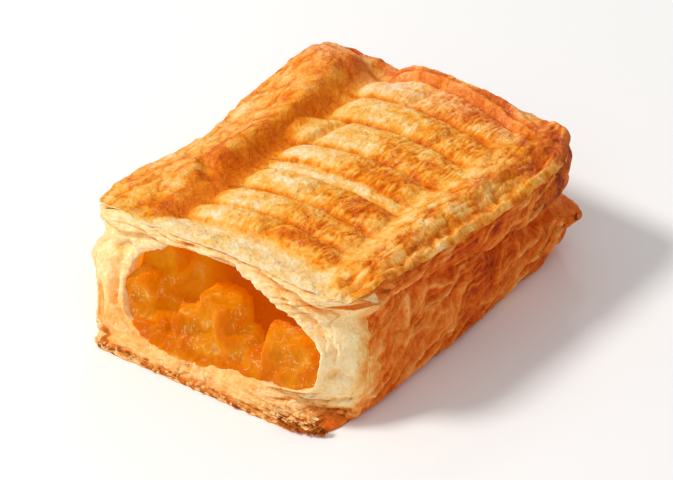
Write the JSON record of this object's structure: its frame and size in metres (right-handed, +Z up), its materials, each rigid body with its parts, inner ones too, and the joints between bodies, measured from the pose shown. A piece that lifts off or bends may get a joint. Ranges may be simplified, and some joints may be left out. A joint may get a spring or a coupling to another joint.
{
  "type": "apple pie",
  "caption": "Rectangular puff-pastry apple pie with a slatted lid, one end broken off to show the apple filling in its hollow.",
  "frame": {"origin": "middle of the base", "axes": "+Z up, +X to the right along the slats of the lid, +Y from the broken end to the sealed end"},
  "size_m": [0.0834, 0.1104, 0.0385],
  "materials": {
    "baked_pastry": "glazed golden-brown puff pastry, pale cream where it is broken",
    "apple_filling": "wet translucent amber apple chunks in syrup"
  },
  "bodies": {
    "root": {"crust": "baked_pastry", "filling": "apple_filling"}
  },
  "joints": []
}
